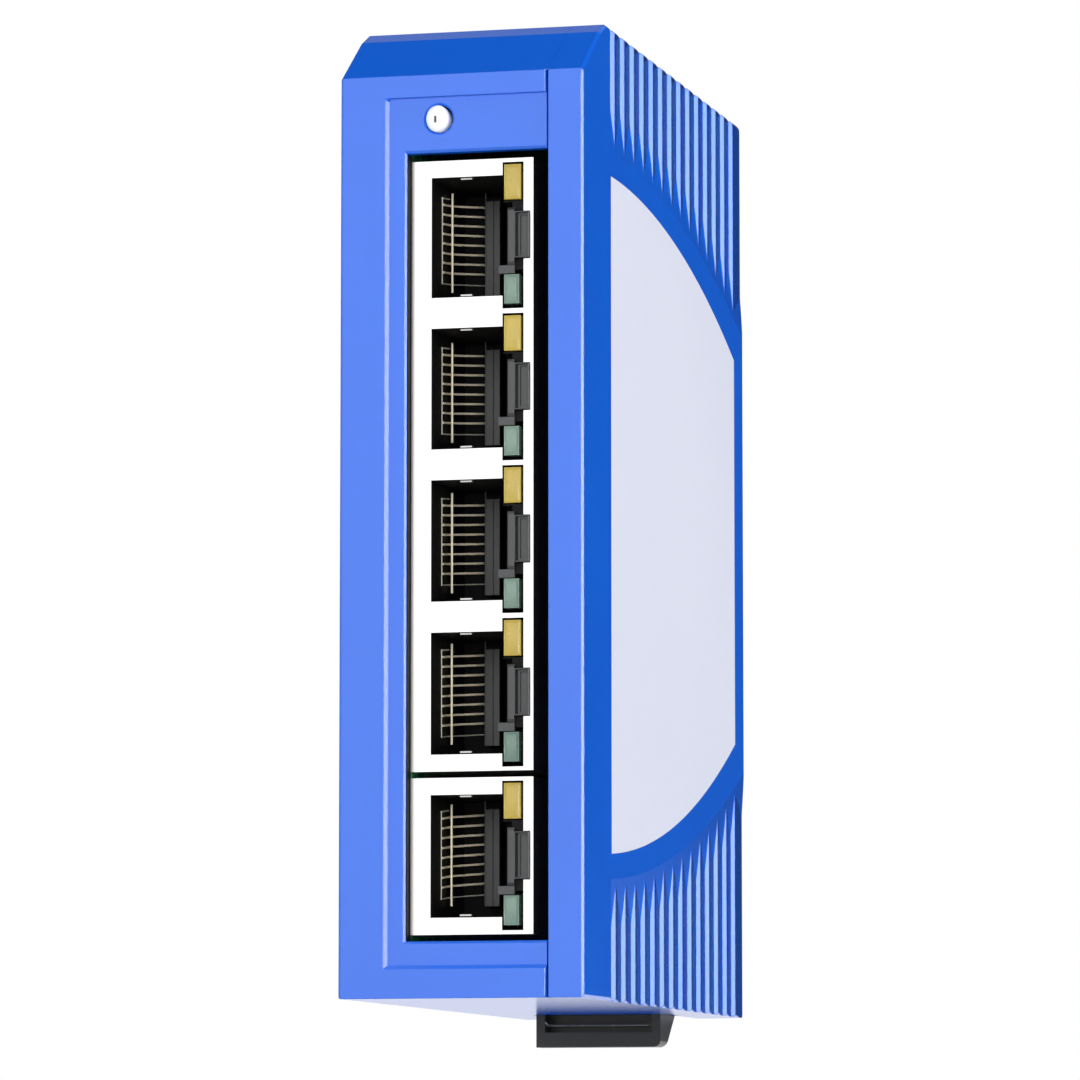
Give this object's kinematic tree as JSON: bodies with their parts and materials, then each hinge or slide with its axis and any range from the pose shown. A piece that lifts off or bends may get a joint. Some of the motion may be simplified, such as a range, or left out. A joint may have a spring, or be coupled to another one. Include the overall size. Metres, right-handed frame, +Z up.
{
  "type": "din rail ethernet switch",
  "caption": "Slim upright network switch in a blue two-part case with sockets down the front, fluted side and a sprung latch that clips onto a mounting rail.",
  "frame": {"origin": "centre of the raised seat on the back that lies on the mounting rail", "axes": "+Z up along the case's height, +Y back into the rail, front with the sockets towards -Y, fluted cover on +X"},
  "size_m": [0.026, 0.0802, 0.1056],
  "materials": {
    "blue_plastic": "satin",
    "label_film": "satin",
    "board_laminate": "satin",
    "steel": "satin",
    "nickel_shield": "satin",
    "black_plastic": "matte",
    "gold_contacts": "polished",
    "yellow_lens": "gloss",
    "green_lens": "gloss",
    "white_lens": "gloss",
    "green_plastic": "satin",
    "aluminium_can": "satin"
  },
  "bodies": {
    "housing": {"board_screws": "steel", "bulk_capacitor": "aluminium_can", "clock_crystal": "steel", "housing_shell": "blue_plastic", "input_fuse": "black_plastic", "latch_spring": "steel", "line_transformers": "black_plastic", "main_board": "board_laminate", "port_1_contacts": "gold_contacts", "port_1_green_light": "green_lens", "port_1_yellow_light": "yellow_lens", "port_2_contacts": "gold_contacts", "port_2_green_light": "green_lens", "port_2_yellow_light": "yellow_lens", "port_3_contacts": "gold_contacts", "port_3_green_light": "green_lens", "port_3_yellow_light": "yellow_lens", "port_4_contacts": "gold_contacts", "port_4_green_light": "green_lens", "port_4_yellow_light": "yellow_lens", "port_5_contacts": "gold_contacts", "port_5_green_light": "green_lens", "port_5_yellow_light": "yellow_lens", "power_header": "green_plastic", "power_header_pins": "steel", "power_inductor": "black_plastic", "quad_jack_body": "black_plastic", "quad_jack_shield": "nickel_shield", "regulator_chip": "black_plastic", "side_cover": "blue_plastic", "side_label": "label_film", "single_jack_body": "black_plastic", "single_jack_shield": "nickel_shield", "status_lamp": "white_lens", "status_lamp_holder": "black_plastic", "surge_diode": "black_plastic", "switch_chip": "black_plastic"},
    "latch": {"din_latch": "black_plastic"}
  },
  "joints": [
    {"name": "latch_slide", "type": "slide", "parent": "housing", "child": "latch", "axis": [0, 0, -1], "range_m": [0, 0.0035], "stiffness_N_per_m": 1500, "springref_m": -0.002, "deforming": ["latch_spring"]}
  ]
}
